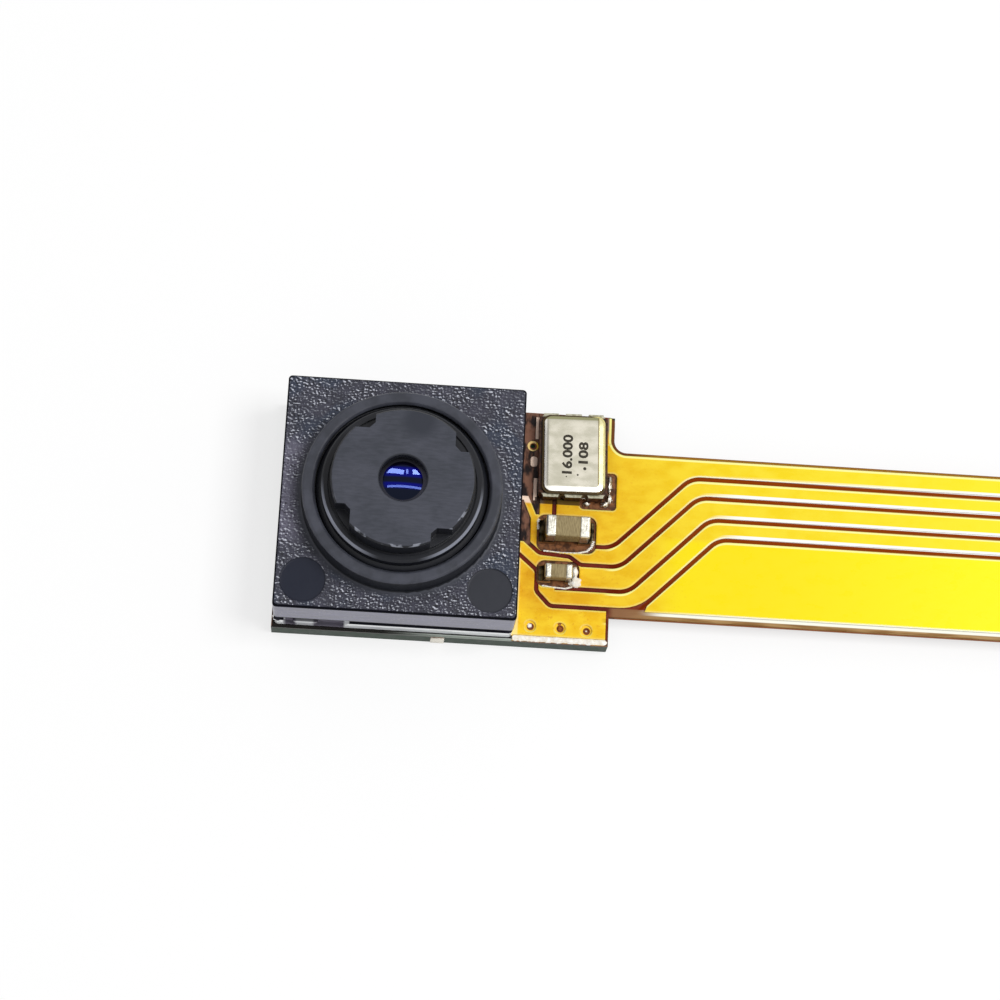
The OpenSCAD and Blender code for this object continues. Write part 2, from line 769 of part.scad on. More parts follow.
cap_z = copper_top + solder_h;

module large_capacitor_body() {
    color("rosybrown") place(large_cap_at, cap_z) cap_body(large_cap);
}

module large_capacitor_ends() {
    color("silver") place(large_cap_at, cap_z) cap_ends(large_cap);
}

module small_capacitor_body() {
    color("rosybrown") place(small_cap_at, cap_z) cap_body(small_cap);
}

module small_capacitor_ends() {
    color("silver") place(small_cap_at, cap_z) cap_ends(small_cap);
}

// Solder under a capacitor's two ends and up their outer faces, with a hollow slope
module cap_solder(size) {
    half = size[0] / 2;
    under = half - cap_end_share * size[0];
    low = solder_h / 3;
    top = solder_h + solder_rise_share * size[2];
    for (turn = [0, 180]) rotate([90, 0, turn]) linear_extrude(size[1], center = true) polygon([
        [under, 0], [half + solder_foot, 0],
        for (t = [0:0.25:1]) [half + solder_foot * pow(1 - t, 2), low + t * t * (top - low)],
        [half, solder_h], [under, solder_h]
    ]);
}

module capacitor_solder() {
    color("silver") {
        place(large_cap_at, copper_top) cap_solder(large_cap);
        place(small_cap_at, copper_top) cap_solder(small_cap);
    }
}

rigid_board();
flex_base_film();
copper_conductors();
component_pads();
coverlay();
via_rings();
tail_stiffener();
edge_solder();
lens_holder();
holder_adhesive();
lens_barrel();
front_lens();
aperture_stop();
middle_lens();
spacer_ring();
rear_lens();
retaining_ring();
infrared_filter();
sensor_chip();
sensor_cover_glass();
sensor_solder_balls();
crystal_base();
crystal_seal_ring();
crystal_lid();
quartz_blank();
crystal_solder();
large_capacitor_body();
large_capacitor_ends();
small_capacitor_body();
small_capacitor_ends();
capacitor_solder();
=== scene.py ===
"""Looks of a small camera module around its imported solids.

Gives each solid its finish, adds the solder, glue, thread and print that the solids leave out,
and sets up a pale floor, soft light and the camera. Lengths in millimetres are turned into metres
by MM. Finishes are worked out in millimetres too.
"""

import json
import math

import bmesh
import bpy
from mathutils import Euler, Matrix, Vector, noise


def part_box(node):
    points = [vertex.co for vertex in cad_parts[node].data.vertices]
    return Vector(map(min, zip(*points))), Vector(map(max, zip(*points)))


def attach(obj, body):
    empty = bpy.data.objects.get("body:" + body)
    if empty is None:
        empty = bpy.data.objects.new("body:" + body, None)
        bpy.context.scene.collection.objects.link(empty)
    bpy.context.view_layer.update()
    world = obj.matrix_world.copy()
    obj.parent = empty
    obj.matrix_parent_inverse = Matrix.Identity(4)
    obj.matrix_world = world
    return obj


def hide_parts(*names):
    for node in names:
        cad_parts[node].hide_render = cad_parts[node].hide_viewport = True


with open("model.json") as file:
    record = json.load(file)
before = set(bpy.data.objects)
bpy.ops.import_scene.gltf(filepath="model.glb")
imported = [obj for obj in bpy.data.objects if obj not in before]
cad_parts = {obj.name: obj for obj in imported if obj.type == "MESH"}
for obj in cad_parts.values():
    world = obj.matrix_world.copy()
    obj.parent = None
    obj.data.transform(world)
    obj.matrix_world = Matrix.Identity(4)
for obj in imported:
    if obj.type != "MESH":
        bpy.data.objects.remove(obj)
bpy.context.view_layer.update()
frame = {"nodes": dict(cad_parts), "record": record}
MM = 0.001


def spot(node):
    """Lowest and highest corner of a solid, in millimetres."""
    low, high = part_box(node)
    return low / MM, high / MM


HOLDER_HIGH = spot("lens_holder")[1]
BARREL_LOW, BARREL_HIGH = spot("lens_barrel")
FILM_LOW, FILM_HIGH = spot("flex_base_film")
COPPER_LOW, COPPER_HIGH = spot("copper_conductors")
CRYSTAL_LOW, CRYSTAL_HIGH = spot("crystal_base")
BOARD_TOP, COVER_TOP, LID_TOP, ADHESIVE_TOP = (
    spot(node)[1][2] for node in ("rigid_board", "coverlay", "crystal_lid", "holder_adhesive"))
MOUNTS = {mount["name"]: mount for mount in frame["record"]["mounts"]}

# Holder: top of its square body, top of its set-back foot, half its width, radius of its collar
BODY_TOP = MOUNTS["front_face"]["pos_m"][2] / MM
FOOT_TOP = BODY_TOP - 1.6
HOLDER_HALF = HOLDER_HIGH[0]
COLLAR_R = MOUNTS["collar"]["dims"]["r_mm"]

# Barrel: radius and height of its front disc, radius of the neck below it and of the light opening
DISC_R, DISC_HEIGHT, NECK_R, LIGHT_R = 2.5, 0.76, 2.83, 0.83

# Holder's bore: its radius and the pitch of its thread
BORE_R, THREAD_PITCH = 3.05, 0.35

# Open vias: three in the tab, from left to right, and one beside the holder
VIAS = ((4.88, -3.76), (5.95, -3.78), (6.9, -3.82), (4.71, 3.04))

# The head's right end, the tail's upper edge and the fillet between the two
HEAD_REACH, TAIL_TOP, TAIL_FILLET = 7.7, 3.0, 0.45

# Gaps between conductors: y on the tail, x where they bend down towards the head, y at the head,
# and the x from which their upper side is fully lit. Then the roundness of the bends.
GAPS = (
    (2.15, 10.55, -0.67, 24.0),
    (1.43, 10.85, -1.38, 12.5),
    (0.61, 11.27, -2.3, 12.4),
    (-0.12, 11.6, -3.4, 12.6),
)
GAP_BEND = 0.48

# Crystal: centre, half width and half length, its turn in degrees, and how far its lid is set in
CRYSTAL_MIDDLE = [(CRYSTAL_LOW[i] + CRYSTAL_HIGH[i]) / 2 for i in (0, 1)]
CRYSTAL_HALF = (1.25, 1.6)
CRYSTAL_TURN = 1.5
LID_INSET = 0.17


def linear(red, green, blue):
    """A screen colour of 0 to 255 a channel, as the shader's linear colour."""
    return tuple(
        (c / 255 / 12.92 if c <= 10 else ((c / 255 + 0.055) / 1.055) ** 2.4)
        for c in (red, green, blue)
    )


# ---------------------------------------------------------------- finishes

class Value:
    """A number that runs through a node tree. Plain arithmetic on it adds the Math nodes."""

    def __init__(self, nodes, socket):
        self.nodes = nodes
        self.socket = socket

    def __add__(self, other):
        return self.nodes.calc("ADD", self, other)

    def __sub__(self, other):
        return self.nodes.calc("SUBTRACT", self, other)

    def __rsub__(self, other):
        return self.nodes.calc("SUBTRACT", other, self)

    def __mul__(self, other):
        return self.nodes.calc("MULTIPLY", self, other)

    def __pow__(self, other):
        return self.nodes.calc("POWER", self, other)

    def __abs__(self):
        return self.nodes.calc("ABSOLUTE", self)

    __radd__ = __add__
    __rmul__ = __mul__

    def at_most(self, other):
        return self.nodes.calc("MINIMUM", self, other)

    def at_least(self, other):
        return self.nodes.calc("MAXIMUM", self, other)

    def rise(self, start, end):
        """0 before start, 1 after end, and a soft rise between them."""
        return Value(self.nodes, self.nodes.add(
            "ShaderNodeMapRange", {"interpolation_type": "SMOOTHSTEP"},
            {"Value": self, "From Min": start, "From Max": end}).outputs["Result"])

    def between(self, low, high, soft):
        """1 from low to high and 0 outside, with soft edges."""
        return self.rise(low - soft, low) * (1 - self.rise(high, high + soft))


class Nodes:
    """A node tree that is filled by one method."""

    def __init__(self, tree):
        self.tree = tree

    def add(self, kind, settings, sockets):
        """Adds one node: its settings first, then the values or links of its sockets."""
        node = self.tree.nodes.new(kind)
        for key, value in settings.items():
            setattr(node, key, value)
        for key, value in sockets.items():
            self.feed(node.inputs[key], value)
        return node

    def feed(self, socket, value):
        """Gives a socket a plain value or a link."""
        value = value.socket if isinstance(value, Value) else value
        if isinstance(value, bpy.types.NodeSocket):
            self.tree.links.new(value, socket)
        elif isinstance(value, tuple) and len(value) == 3 and socket.type == "RGBA":
            socket.default_value = (*value, 1)
        else:
            socket.default_value = value

    def calc(self, operation, first, second=0.0, third=0.0):
        """Adds one Math node."""
        node = self.add("ShaderNodeMath", {"operation": operation}, {0: first, 1: second, 2: third})
        return Value(self, node.outputs["Value"])


class Finish(Nodes):
    """A surface finish. Its shader sockets are set by name, and places are in millimetres."""

    def __init__(self, name, **uniform):
        self.material = bpy.data.materials.new(name)
        self.material.use_nodes = True
        super().__init__(self.material.node_tree)
        self.shader = self.tree.nodes["Principled BSDF"]
        for socket, value in uniform.items():
            self.wear(socket.replace("_", " "), value)
        self.point = self.add("ShaderNodeVectorMath", {"operation": "SCALE"}, {
            "Vector": self.add("ShaderNodeTexCoord", {}, {}).outputs["Object"], "Scale": 1 / MM,
        }).outputs["Vector"]
        axes = self.add("ShaderNodeSeparateXYZ", {}, {"Vector": self.point}).outputs
        self.x, self.y, self.z = (Value(self, axes[axis]) for axis in "XYZ")

    def wear(self, socket, value):
        """Sets one socket of the finish's own shader."""
        self.feed(self.shader.inputs[socket], value)

    def mix(self, mask, before, after):
        """One colour where the mask is 0 and the other where it is 1."""
        node = self.add("ShaderNodeMix", {"data_type": "RGBA"}, {0: mask, 6: before, 7: after})
        return node.outputs[2]

    def grain(self, size, detail=2.0, stretch=(1, 1, 1), shift=0.0, step=(0, 0)):
        """Soft noise with spots of about the given size, read a step to one side."""
        move = [c * s / size for c, s in zip((*step, 0), stretch)]
        place = self.add("ShaderNodeMapping", {}, {
            "Vector": self.point, "Location": (shift + move[0], move[1] - shift, shift),
            "Scale": tuple(s / size for s in stretch),
        }).outputs["Vector"]
        return Value(self, self.add("ShaderNodeTexNoise", {}, {
            "Vector": place, "Scale": 1.0, "Detail": detail, "Roughness": 0.55,
        }).outputs["Fac"])

    def reach(self, centre):
        """Distance from an upright axis through a point, in millimetres."""
        across = self.x - centre[0]
        along = self.y - centre[1]
        return (across * across + along * along) ** 0.5

    def turned(self, centre, degrees):
        """The two plan positions from a centre, in a frame turned by the given angle."""
        across, along = self.x - centre[0], self.y - centre[1]
        c, s = math.cos(math.radians(degrees)), math.sin(math.radians(degrees))
        return across * c + along * s, along * c - across * s

    def lean(self, normal):
        """How far a normal leans towards +Y."""
        return Value(self, self.add("ShaderNodeSeparateXYZ", {}, {"Vector": normal}).outputs["Y"])

    def soften(self, radius):
        """Normals that run round the edges, as on a moulded or plated piece."""
        return self.add("ShaderNodeBevel", {"samples": 6}, {"Radius": radius * MM}).outputs["Normal"]

    def blend(self, mask, other):
        """Puts another shader in place of the finish's own where the mask is 1."""
        both = self.add("ShaderNodeMixShader", {}, {
            0: mask, 1: self.shader.outputs["BSDF"], 2: other})
        self.feed(self.tree.nodes["Material Output"].inputs["Surface"], both.outputs["Shader"])

    def swallow(self, mask, colour):
        """Turns the masked stretch into a dull, shaded colour that mirrors nothing."""
        self.blend(mask, self.add("ShaderNodeBsdfDiffuse", {}, {"Color": colour}).outputs["BSDF"])

    def relief(self, height, depth, normal=None):
        """Raises and lowers the surface by up to the given depth."""
        sockets = {"Height": height, "Distance": depth * MM, "Strength": 1.0}
        if normal is not None:
            sockets["Normal"] = normal
        return self.add("ShaderNodeBump", {}, sockets).outputs["Normal"]


def holder_plastic():
    """Black moulded plastic: an eroded grain on the front with painted glints and painted shade in its pits,
    glossy sides, painted light on the left of the front, a painted shadow on the foot and a painted dark
    reflection along the top edges.
    """
    finish = Finish("holder_plastic", IOR=1.33, Coat_Roughness=0.16)
    from_axis = finish.reach((0, 0))
    from_middle = abs(finish.x).at_least(abs(finish.y))
    front = finish.z.between(BODY_TOP - 0.015, BODY_TOP + 0.01, 0.008)
    front = front * from_axis.rise(COLLAR_R + 0.06, COLLAR_R + 0.36)
    mark = finish.z.between(BODY_TOP - 0.09, BODY_TOP - 0.03, 0.01)
    side = finish.z.between(FOOT_TOP + 0.08, BODY_TOP - 0.2, 0.04)
    foot = 1 - finish.z.rise(FOOT_TOP - 0.02, FOOT_TOP + 0.02)
    grit = {"size": 0.078, "detail": 2.0, "stretch": (0.85, 1.1, 1), "shift": 3}
    # The grain's slope is painted into the colour as a glint on one side of each grain and shade on the
    # other, and it also bumps the surface.
    slope = finish.grain(**grit, step=(0.04, 0.05)) - finish.grain(**grit)
    crowd = finish.grain(0.7, 3, shift=7).rise(0.36, 0.58).at_least(0.25)
    glint = slope.rise(0.1, 0.2) * crowd
    painted_pit_shade = (0 - slope).rise(0.06, 0.2) * crowd
    cloud = finish.grain(0.7, 3, shift=11).rise(0.3, 0.7)
    fine = finish.grain(0.06, 2, shift=13).rise(0.35, 0.65)
    plain = finish.mix(cloud * 0.5 + fine * 0.5, linear(38, 39, 48), linear(68, 68, 82))
    plain = finish.mix(finish.grain(1.6, 1, shift=5).rise(0.52, 0.64) * 0.7, plain, linear(44, 54, 72))
    # Painted light: the left of the front is lighter, against the collar's shadow from the key lamp.
    left = (1 - finish.x.rise(-3.8, -3.1)) * (1 - abs(finish.y).rise(1.4, 2.3))
    plain = finish.mix(left, plain, linear(98, 96, 112))
    grained = finish.mix(painted_pit_shade * 0.9, plain, linear(6, 6, 12))
    grained = finish.mix(glint * 0.85, grained, linear(212, 215, 226))
    smooth = finish.mix(cloud, linear(52, 54, 62), linear(68, 70, 80))
    mark_colour = finish.mix(finish.x.rise(-1, 1), linear(12, 18, 36), linear(40, 42, 50))
    smooth = finish.mix(mark, smooth, mark_colour)
    collar_wall = finish.z.between(BODY_TOP + 0.02, HOLDER_HIGH[2] - 0.09, 0.015)
    collar_wall = collar_wall * (1 - from_axis.rise(COLLAR_R + 0.05, COLLAR_R + 0.1))
    smooth = finish.mix(collar_wall, smooth, linear(22, 24, 30))
    brushed = finish.grain(0.12, 3, (0.1, 0.1, 1), shift=15).rise(0.3, 0.7)
    smooth = finish.mix(side, smooth, finish.mix(brushed, linear(40, 38, 80), linear(60, 58, 104)))
    # Painted dark reflection: a band just below the top edges is turned a dull near black.
    rim = finish.z.between(BODY_TOP - 0.17, BODY_TOP - 0.03, 0.03)
    rim = rim * from_middle.rise(HOLDER_HALF - 0.11, HOLDER_HALF - 0.07)
    # Painted shadow: the set-back foot is a dull dark grey, as the shade under the body.
    finish.swallow(foot.at_least(rim * 0.9), finish.mix(foot, linear(10, 10, 16), linear(34, 34, 42)))
    finish.wear("Base Color", finish.mix(front, smooth, grained))
    finish.wear("Roughness", 0.42 - 0.12 * glint)
    finish.wear("Coat Weight", side * 0.7)
    uneven = finish.relief(cloud, 0.004, finish.soften(0.09))
    finish.wear("Normal", finish.relief(slope * front, 0.02, uneven))
    return finish


def barrel_plastic():
    """Black plastic, with a finely scratched matt face on the disc, painted light on the wall of the light
    opening and a painted highlight along the front of the neck's ledge.
    """
    finish = Finish("barrel_plastic", IOR=1.33)
    fine = finish.grain(0.05, 3)
    scratch = finish.grain(0.09, 3, (0.25, 1.1, 1), shift=6)
    cloud = finish.grain(1.3, 3, shift=4)
    from_axis = finish.reach((0, 0))
    face = finish.z.rise(BARREL_HIGH[2] - 0.02, BARREL_HIGH[2] - 0.008)
    shade = cloud.rise(0.3, 0.7) * 0.6 + scratch.rise(0.35, 0.65) * 0.4
    matt = finish.mix(shade, linear(52, 55, 63), linear(70, 72, 82))
    matt = finish.mix(finish.reach((0.5, 2.1)).rise(0.3, 0.9), linear(44, 47, 56), matt)
    smooth = finish.mix(cloud, linear(14, 15, 20), linear(26, 28, 35))
    worn = from_axis.between(DISC_R - 0.08, DISC_R, 0.015) * (1 - finish.y.rise(-1.4, -0.6))
    worn = worn * finish.grain(0.35, 2, shift=8).rise(0.48, 0.6)
    worn = worn * finish.z.rise(BARREL_HIGH[2] - 0.07, BARREL_HIGH[2] - 0.04)
    colour = finish.mix(face, smooth, matt)
    # Painted light: the wall of the light opening is a lighter grey than the plastic, against the shade in
    # the recess.
    opening = 1 - from_axis.rise(LIGHT_R + 0.01, LIGHT_R + 0.07)
    colour = finish.mix(opening, colour, linear(40, 42, 48))
    ledge = BARREL_HIGH[2] - DISC_HEIGHT
    # Painted highlight: a pale arc on the front of the neck's rim at the ledge, to both sides of the middle.
    painted_ledge_highlight = from_axis.between(NECK_R - 0.09, NECK_R - 0.02, 0.02)
    painted_ledge_highlight = painted_ledge_highlight * finish.z.between(ledge - 0.06, ledge + 0.02, 0.01)
    painted_ledge_highlight = painted_ledge_highlight * (1 - finish.y.rise(-0.9, 0.2)) * abs(finish.x).rise(0.6, 1.6)
    colour = finish.mix(painted_ledge_highlight * 0.7, colour, linear(150, 154, 168))
    finish.wear("Base Color", finish.mix(worn * 0.75, colour, linear(150, 154, 166)))
    finish.wear("Roughness", 0.34 + 0.24 * face + 0.05 * fine)
    finish.wear("Normal", finish.relief(fine * 0.5 + scratch * 0.5, 0.004, finish.soften(0.025)))
    return finish


def coated_glass():
    """Front lens: near black and darker towards the top, with a painted deep blue reflection of its coating
    in two bands, and its rim painted a dull grey in place of its reflections.
    """
    finish = Finish("coated_glass", Roughness=0.02, IOR=1.3, Specular_Tint=(0.26, 0.38, 1.0, 1.0))
    from_axis = finish.reach((0, 0))
    # Painted reflection: two bands of deep blue where the coating's reflection lies.
    upper = finish.y.between(0.2, 0.42, 0.12)
    lower = finish.y.between(-0.24, -0.14, 0.1)
    painted_blue_reflection = upper.at_least(lower) * (1 - from_axis.rise(0.55, 0.8))
    dull_part = finish.mix(finish.y.rise(-0.5, 0.6), linear(7, 8, 9), linear(3, 2, 9))
    finish.wear("Base Color", finish.mix(painted_blue_reflection, dull_part, linear(2, 1, 74)))
    # The rim is painted a dull grey in place of what it would mirror.
    finish.swallow(from_axis.rise(0.685, 0.71), linear(36, 36, 42))
    return finish


def along_gaps(finish):
    """Masks along the gaps between conductors: the shine above them, the glint below, the gaps."""
    shine, glint, inside = finish.x * 0, finish.x * 0, finish.x * 0
    past_head = finish.x.rise(HEAD_REACH - 0.3, HEAD_REACH + 0.1)
    closer = 0.03 * finish.x.rise(12.0, 22.0)
    for tail_y, bend_x, head_y, full_x in GAPS:
        slant = finish.calc("SMOOTH_MAX", finish.x - bend_x + tail_y, head_y, GAP_BEND)
        above = finish.y - finish.calc("SMOOTH_MIN", slant, tail_y, GAP_BEND)
        upper = above + closer
        inside = inside.at_least(upper.between(-0.08, 0.065, 0.015) * past_head)
        shine = shine.at_least(upper.between(0.08, 0.19, 0.02) * finish.x.rise(bend_x - 0.2, full_x))
        glint = glint.at_least(above.between(-0.16, -0.09, 0.02) * past_head)
    before_fan = 1 - finish.x.rise(24.0, 24.5)
    return shine * before_fan, glint * before_fan, inside * before_fan


def film_on_copper(finish, mottle, lean, pale_trace_painted_brighter):
    """Yellow of the cover film where copper lies under it: deeper at the head and lemon along the tail, a
    change painted in for how the light falls, with painted highlights on its edges and along the holder.
    """
    # Painted light: the yellow deepens towards the head and pales to lemon along the tail.
    along = finish.x.rise(4.5, 13.0)
    far = finish.x.rise(12.0, 24.0)
    wide = (1 - finish.y.rise(-0.35, -0.1)) * finish.x.rise(9.0, 10.5)
    speck = finish.grain(0.12, 2, shift=9)
    at_head = finish.mix(mottle, linear(230, 166, 20), linear(246, 196, 34))
    on_tail = finish.mix(mottle, linear(248, 216, 26), linear(250, 224, 44))
    on_tab = finish.mix(mottle, linear(244, 190, 22), linear(255, 214, 40))
    yellow = finish.mix(along, at_head, on_tail)
    yellow = finish.mix(1 - finish.y.rise(-3.4, -2.9), yellow, on_tab)
    yellow = finish.mix(far, yellow, linear(250, 236, 36))
    yellow = finish.mix(wide, yellow, finish.mix(far, linear(252, 228, 10), linear(252, 248, 12)))
    yellow = finish.mix(speck.rise(0.6, 0.75) * (1 - along) * 0.4, yellow, linear(214, 130, 12))
    # Painted highlight on the edges whose normals lean towards +Y.
    yellow = finish.mix(lean.rise(0.04, 0.2) * 0.8, yellow, linear(255, 250, 140))
    # The pale trace beside the holder: its own cream, raised to a painted brightness against the holder's
    # shade.
    yellow = finish.mix(pale_trace_painted_brighter, yellow, linear(255, 226, 204))
    # Painted highlight: a cream line along the film's edge at the holder.
    painted_highlight_at_holder = (1 - finish.x.rise(4.4, 4.47)) * (1 - finish.y.rise(-1.0, -0.8))
    return finish.mix(painted_highlight_at_holder * 0.6, yellow, linear(255, 236, 170))


def film_alone(finish, mottle, beside_holder, edge):
    """Brown of the film between the conductors, and what shows along its margins and at the crystal: painted
    shade at the head and along the holder, painted light where the margin lies past the board, and a painted
    highlight on the lower margin.
    """
    # The gaps are darker at the head than along the tail: partly painted shade, partly the board under the
    # film.
    at_head = finish.mix(mottle, linear(84, 12, 0), linear(112, 28, 0))
    on_tail = finish.mix(mottle, linear(116, 40, 0), linear(138, 60, 0))
    gap = finish.mix(finish.x.rise(6.5, 11.5), at_head, on_tail)
    patches = finish.grain(0.3, 3, (1, 0.4, 1)).rise(0.42, 0.6)
    strip = finish.mix(patches, linear(22, 9, 8), linear(124, 86, 68))
    gap = finish.mix(beside_holder * finish.y.rise(-0.9, -0.6), gap, strip)

    streaked = finish.grain(0.12, 3, (0.08, 1, 1), shift=17).rise(0.35, 0.65)
    margin = finish.mix(streaked, linear(136, 96, 46), linear(176, 140, 90))
    # Painted highlight: a near white line along the lower margin under the wide conductor, from x 9.6 on.
    lower_rim_highlight = finish.x.rise(8.6, 9.6) * finish.y.rise(-3.14, -3.1)
    margin = finish.mix(lower_rim_highlight, margin, linear(255, 254, 238))
    # Painted light: the margin is darker over the board and lighter past it, where the floor's white would
    # show through the film.
    margin = finish.mix(finish.x.rise(8.0, 10.0), linear(140, 98, 64), margin)
    margin = finish.mix(finish.y.rise(2.6, 2.8), margin, linear(146, 104, 24))
    gap = finish.mix(edge, gap, margin)

    beside_crystal = finish.mix(finish.x.rise(7.56, 7.72), linear(240, 180, 56), linear(104, 68, 34))
    beside_crystal = finish.mix(finish.y.rise(3.4, 3.9), beside_crystal, linear(146, 124, 104))
    gap = finish.mix(finish.x.rise(7.4, 7.45) * finish.y.rise(3.1, 3.2), gap, beside_crystal)
    # Painted shadow: the bare film along the holder, left of x 4.28, is near black.
    return finish.mix(1 - finish.x.rise(4.28, 4.36), gap, linear(24, 20, 18))


def cover_film():
    """Glossy polyimide: yellow over the copper, brown where there is only film, with painted highlights
    along the tail's edge, the gaps, the front rim and the slopes that face -Y, and a painted shadow in front
    of the crystal.
    """
    finish = Finish("cover_film", IOR=1.25)
    softened = finish.soften(0.1)
    lean = finish.lean(softened)
    raised = finish.z.rise(COVER_TOP - 0.016, COVER_TOP - 0.006)
    for via in VIAS[:3]:
        raised = raised.at_least(1 - finish.reach(via).rise(0.3, 0.34))
    flat_top = COVER_TOP - (COPPER_HIGH[2] - COPPER_LOW[2])
    above_flat = finish.z.rise(flat_top + 0.002, flat_top + 0.006)
    mottle = finish.grain(0.5, 4, (0.7, 1.2, 1)).rise(0.3, 0.7)
    beside_holder = 1 - finish.x.rise(5.0, 5.3)
    pale_trace_painted_brighter = beside_holder * finish.y.rise(0.8, 0.9)
    edge = finish.x.rise(7.6, 7.9) * (1 - finish.y.between(-2.99, 2.86, 0.02)).at_least(
        (1 - finish.x.rise(8.9, 9.1)) * (1 - finish.y.rise(-2.95, -2.9)))
    colour = finish.mix(raised, film_alone(finish, mottle, beside_holder, edge),
                        film_on_copper(finish, mottle, lean, pale_trace_painted_brighter))

    cream = linear(255, 250, 150)
    left = (HEAD_REACH + TAIL_FILLET - finish.x).at_least(0.0)
    below = (TAIL_TOP + TAIL_FILLET - finish.y).at_least(0.0)
    inset = (left * left + below * below) ** 0.5 - TAIL_FILLET
    outline = finish.mix(finish.x.rise(8, 9.5), linear(104, 56, 10), linear(166, 116, 18))
    # Painted highlight: a cream line inside the dark outline along the tail's upper edge and round its
    # fillet.
    colour = finish.mix(1 - inset.rise(0.2, 0.22), colour, cream)
    colour = finish.mix(1 - inset.rise(0.12, 0.14), colour, outline)

    shine, glint, inside = along_gaps(finish)
    # Painted highlight: a cream line under each gap.
    colour = finish.mix(glint * raised * (1 - beside_holder), colour, cream)
    before_tab = finish.x.rise(-0.5, 2.0) * (1 - finish.x.rise(4.2, 4.3))
    # Painted highlight: a light grey line along the film's front edge, before the tab.
    front_rim_highlight = (1 - finish.y.rise(-4.28, -4.25)) * before_tab
    colour = finish.mix(front_rim_highlight, colour, linear(196, 204, 196))
    # Painted highlight on the slopes that face -Y and above the gaps; below, these take an upright normal so
    # that they stay bright.
    near_side = (0 - lean).rise(0.03, 0.12) * above_flat * (1 - pale_trace_painted_brighter) * (1 - inside)
    glow = finish.mix(finish.x.rise(8.0, 13.0), linear(255, 240, 170), linear(255, 255, 250))
    lit = (near_side * finish.x.rise(8.0, 11.5).at_least(0.35)).at_least(shine)
    colour = finish.mix(lit, colour, glow)
    # Painted shadow: dark brown on the film just in front of the crystal.
    painted_shadow_under_crystal = finish.x.between(CRYSTAL_LOW[0] - 0.02, CRYSTAL_HIGH[0], 0.02)
    painted_shadow_under_crystal = painted_shadow_under_crystal * finish.y.between(CRYSTAL_LOW[1] - 0.12, CRYSTAL_LOW[1] + 0.1, 0.02)
    finish.wear("Base Color", finish.mix(painted_shadow_under_crystal * 0.9, colour, linear(44, 24, 14)))
    finish.wear("Roughness", 0.24 + 0.2 * mottle)
    bumpy = finish.relief(finish.grain(0.35, 2, shift=2), 0.004, softened)
    finish.wear("Normal", finish.mix(lit, bumpy, (0.0, 0.0, 1.0)))
    brown = finish.mix(finish.x.rise(7.5, 11.5), linear(100, 26, 0), linear(142, 58, 0))
    finish.swallow(inside * (1 - edge) * 0.8, brown)
    return finish


def base_film():
    """Thick amber film, dark at the head where the parts stand as painted shade, with a painted highlight
    and painted shade along its front edge.
    """
    finish = Finish("base_film", IOR=1.3, Roughness=0.35)
    mottle = finish.grain(0.6, 3)
    amber = finish.mix(mottle, linear(120, 66, 24), linear(150, 88, 34))
    fine = finish.grain(0.2, 3, shift=5).rise(0.35, 0.65)
    dark = finish.mix(fine, linear(70, 40, 20), linear(138, 88, 52))
    # Painted shade: at the head, the film's top and cut edge are dark.
    at_head = 1 - finish.x.rise(HEAD_REACH + 0.2, HEAD_REACH + 0.4)
    on_top = finish.z.rise(FILM_HIGH[2] - 0.008, FILM_HIGH[2] - 0.002) * at_head
    rim = finish.z.rise(FILM_LOW[2] + 0.002, FILM_LOW[2] + 0.006) * at_head
    colour = finish.mix(on_top.at_least(rim), amber, dark)
    # Painted highlight along the front edge right of the middle, painted shade in near black to its left.
    front = rim * (1 - finish.y.rise(-4.3, -4.28)) * (1 - finish.x.rise(4.2, 4.3))
    edge = finish.mix(finish.x.rise(-0.5, 2.0), linear(30, 28, 26), linear(150, 158, 150))
    finish.wear("Base Color", finish.mix(front, colour, edge))
    finish.wear("Normal", finish.relief(mottle, 0.003))
    return finish


def board_laminate():
    """Dark green woven laminate: woven faces and layered cut edges."""
    finish = Finish("board_laminate", IOR=1.18)
    strand, layer = 14.0, 42.0
    weave = finish.calc("SINE", finish.x * strand) * finish.calc("SINE", finish.y * strand) * 0.5 + 0.5
    layers = finish.calc("SINE", finish.z * layer) * 0.5 + 0.5
    mottle = finish.grain(0.25, 3)
    edge = finish.mix(layers * 0.4 + mottle * 0.6, linear(12, 24, 16), linear(56, 76, 60))
    face = finish.mix(weave * 0.3 + mottle * 0.3, linear(14, 46, 26), linear(30, 74, 44))
    cut = finish.z.between(0.004, BOARD_TOP - 0.004, 0.002)
    finish.wear("Base Color", finish.mix(cut, face, edge))
    finish.wear("Roughness", 0.28 + 0.3 * mottle)
    finish.wear("Normal", finish.relief(weave * 0.7 + mottle * 0.3, 0.006))
    return finish


def crystal_finish(name, **uniform):
    """A finish with its plan positions in the turned crystal's own frame."""
    finish = Finish(name, **uniform)
    return finish, *finish.turned(CRYSTAL_MIDDLE, CRYSTAL_TURN)


